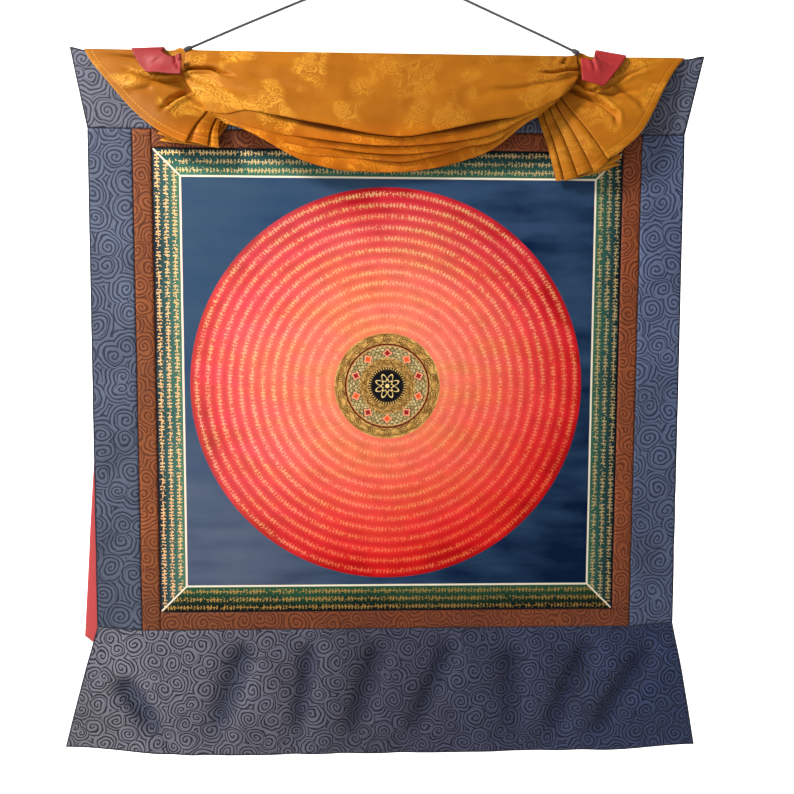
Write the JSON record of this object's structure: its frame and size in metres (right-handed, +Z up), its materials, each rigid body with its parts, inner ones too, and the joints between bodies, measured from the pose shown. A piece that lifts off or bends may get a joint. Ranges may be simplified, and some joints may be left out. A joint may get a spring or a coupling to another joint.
{
  "type": "thangka scroll painting with brocade mounting, veil and hanging cord",
  "caption": "Square painted cloth in a brown brocade frame and blue brocade panels, with a gathered gold silk veil, red ribbons and a hanging cord.",
  "frame": {"origin": "top of the hanging cord, where it goes over the nail", "axes": "+Z up, the painted front faces -Y, +X to the right seen from the front"},
  "size_m": [0.703, 0.0361, 0.853],
  "materials": {
    "painting": "matt distemper and gold on primed cotton",
    "brown_brocade": "satin damask with curled clouds",
    "blue_brocade": "satin damask with spirals",
    "gold_silk": "silk damask",
    "red_silk": "satin ribbon",
    "cord": "twisted cord"
  },
  "bodies": {
    "root": {"painting": "painting", "frame_left": "brown_brocade", "frame_right": "brown_brocade", "frame_top": "brown_brocade", "frame_bottom": "brown_brocade", "panel_left": "blue_brocade", "panel_right": "blue_brocade", "panel_top": "blue_brocade", "panel_bottom": "blue_brocade", "veil": "gold_silk", "ribbon_left": "red_silk", "ribbon_right": "red_silk", "hanging_cord": "cord", "cord_knot_left": "cord", "cord_knot_right": "cord"}
  },
  "joints": []
}
